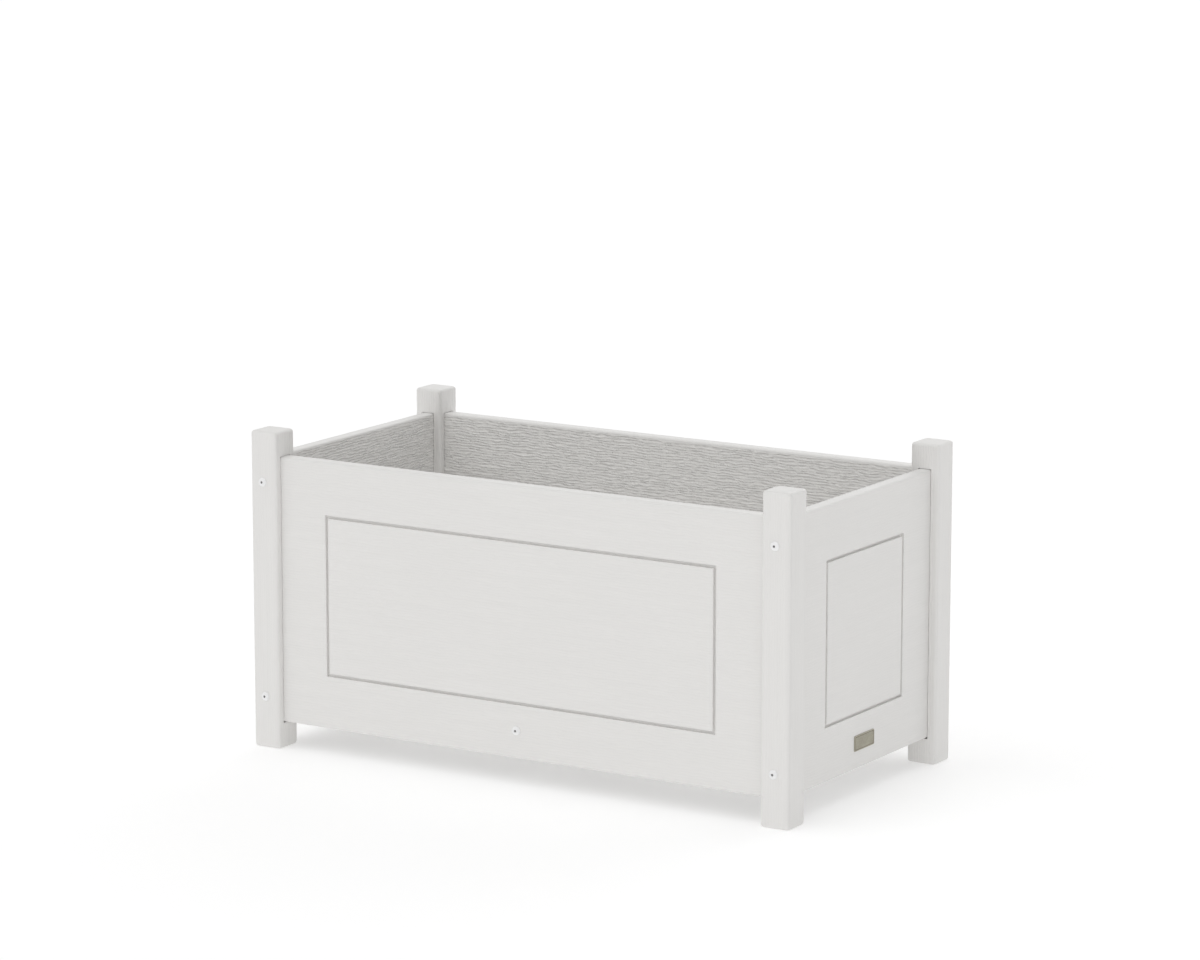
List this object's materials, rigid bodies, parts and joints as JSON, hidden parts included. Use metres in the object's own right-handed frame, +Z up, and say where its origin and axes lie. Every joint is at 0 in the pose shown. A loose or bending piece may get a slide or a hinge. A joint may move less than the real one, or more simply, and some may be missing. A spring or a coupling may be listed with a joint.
{
  "type": "versailles planter",
  "caption": "Rectangular garden planter box: square corner posts that form the feet, grooved panels slotted between them, and a slatted drainage floor.",
  "frame": {"origin": "centre of the footprint, on the ground", "axes": "+X along the long side, -Y out of the front panel, +Z up"},
  "size_m": [0.8762, 0.4638, 0.4572],
  "materials": {
    "white_post": "satin with a fine grain along the post",
    "white_panel": "satin, embossed wood grain",
    "white_floor": "satin, embossed wood grain",
    "white_screw": "smooth satin paint",
    "steel_screw": "stainless, satin",
    "plate_metal": "antiqued, satin"
  },
  "bodies": {
    "root": {"post_front_left": "white_post", "post_front_right": "white_post", "post_rear_left": "white_post", "post_rear_right": "white_post", "panel_front": "white_panel", "panel_rear": "white_panel", "panel_left": "white_panel", "panel_right": "white_panel", "floor_cleat_left": "white_floor", "floor_cleat_right": "white_floor", "floor_joist_centre": "white_floor", "floor_board_1": "white_floor", "floor_board_2": "white_floor", "floor_board_3": "white_floor", "floor_board_4": "white_floor", "post_screws_front": "white_screw", "post_screws_rear": "white_screw", "joist_screw_front": "white_screw", "joist_screw_rear": "white_screw", "cleat_screws_left": "steel_screw", "cleat_screws_right": "steel_screw", "floor_screws": "steel_screw", "name_plate": "plate_metal"}
  },
  "joints": []
}
